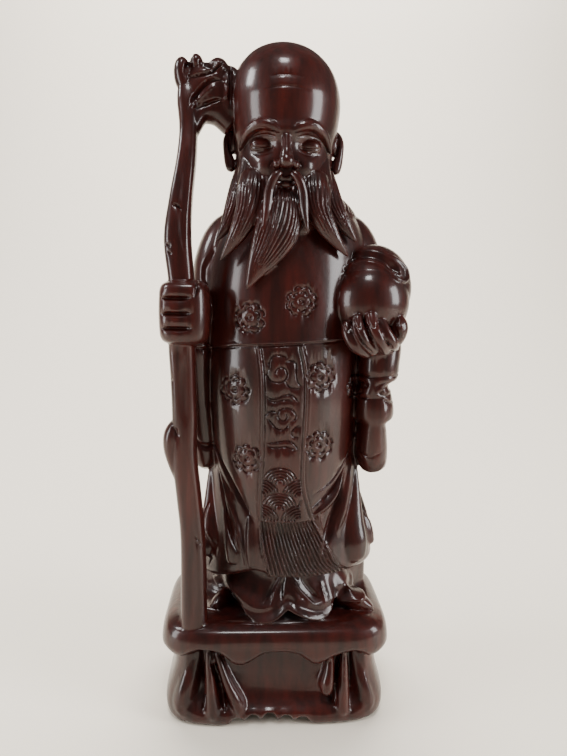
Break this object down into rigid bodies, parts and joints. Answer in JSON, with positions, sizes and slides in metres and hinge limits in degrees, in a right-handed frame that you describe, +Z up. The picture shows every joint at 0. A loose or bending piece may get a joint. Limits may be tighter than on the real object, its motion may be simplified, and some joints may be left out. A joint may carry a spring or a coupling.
{
  "type": "carved wooden figure",
  "caption": "Carved dark hardwood figure of a bearded old sage in a long robe, holding a gnarled root staff and a peach, on a stand cut from the same block.",
  "frame": {"origin": "middle of the stand's flat underside", "axes": "+Z up, -Y towards the figure's front, +X to the viewer's right"},
  "size_m": [0.2173, 0.1485, 0.589],
  "materials": {
    "rosewood": "dark reddish brown hardwood, stained and lacquered to a gloss"
  },
  "bodies": {
    "root": {"carved_figure": "rosewood"}
  },
  "joints": []
}
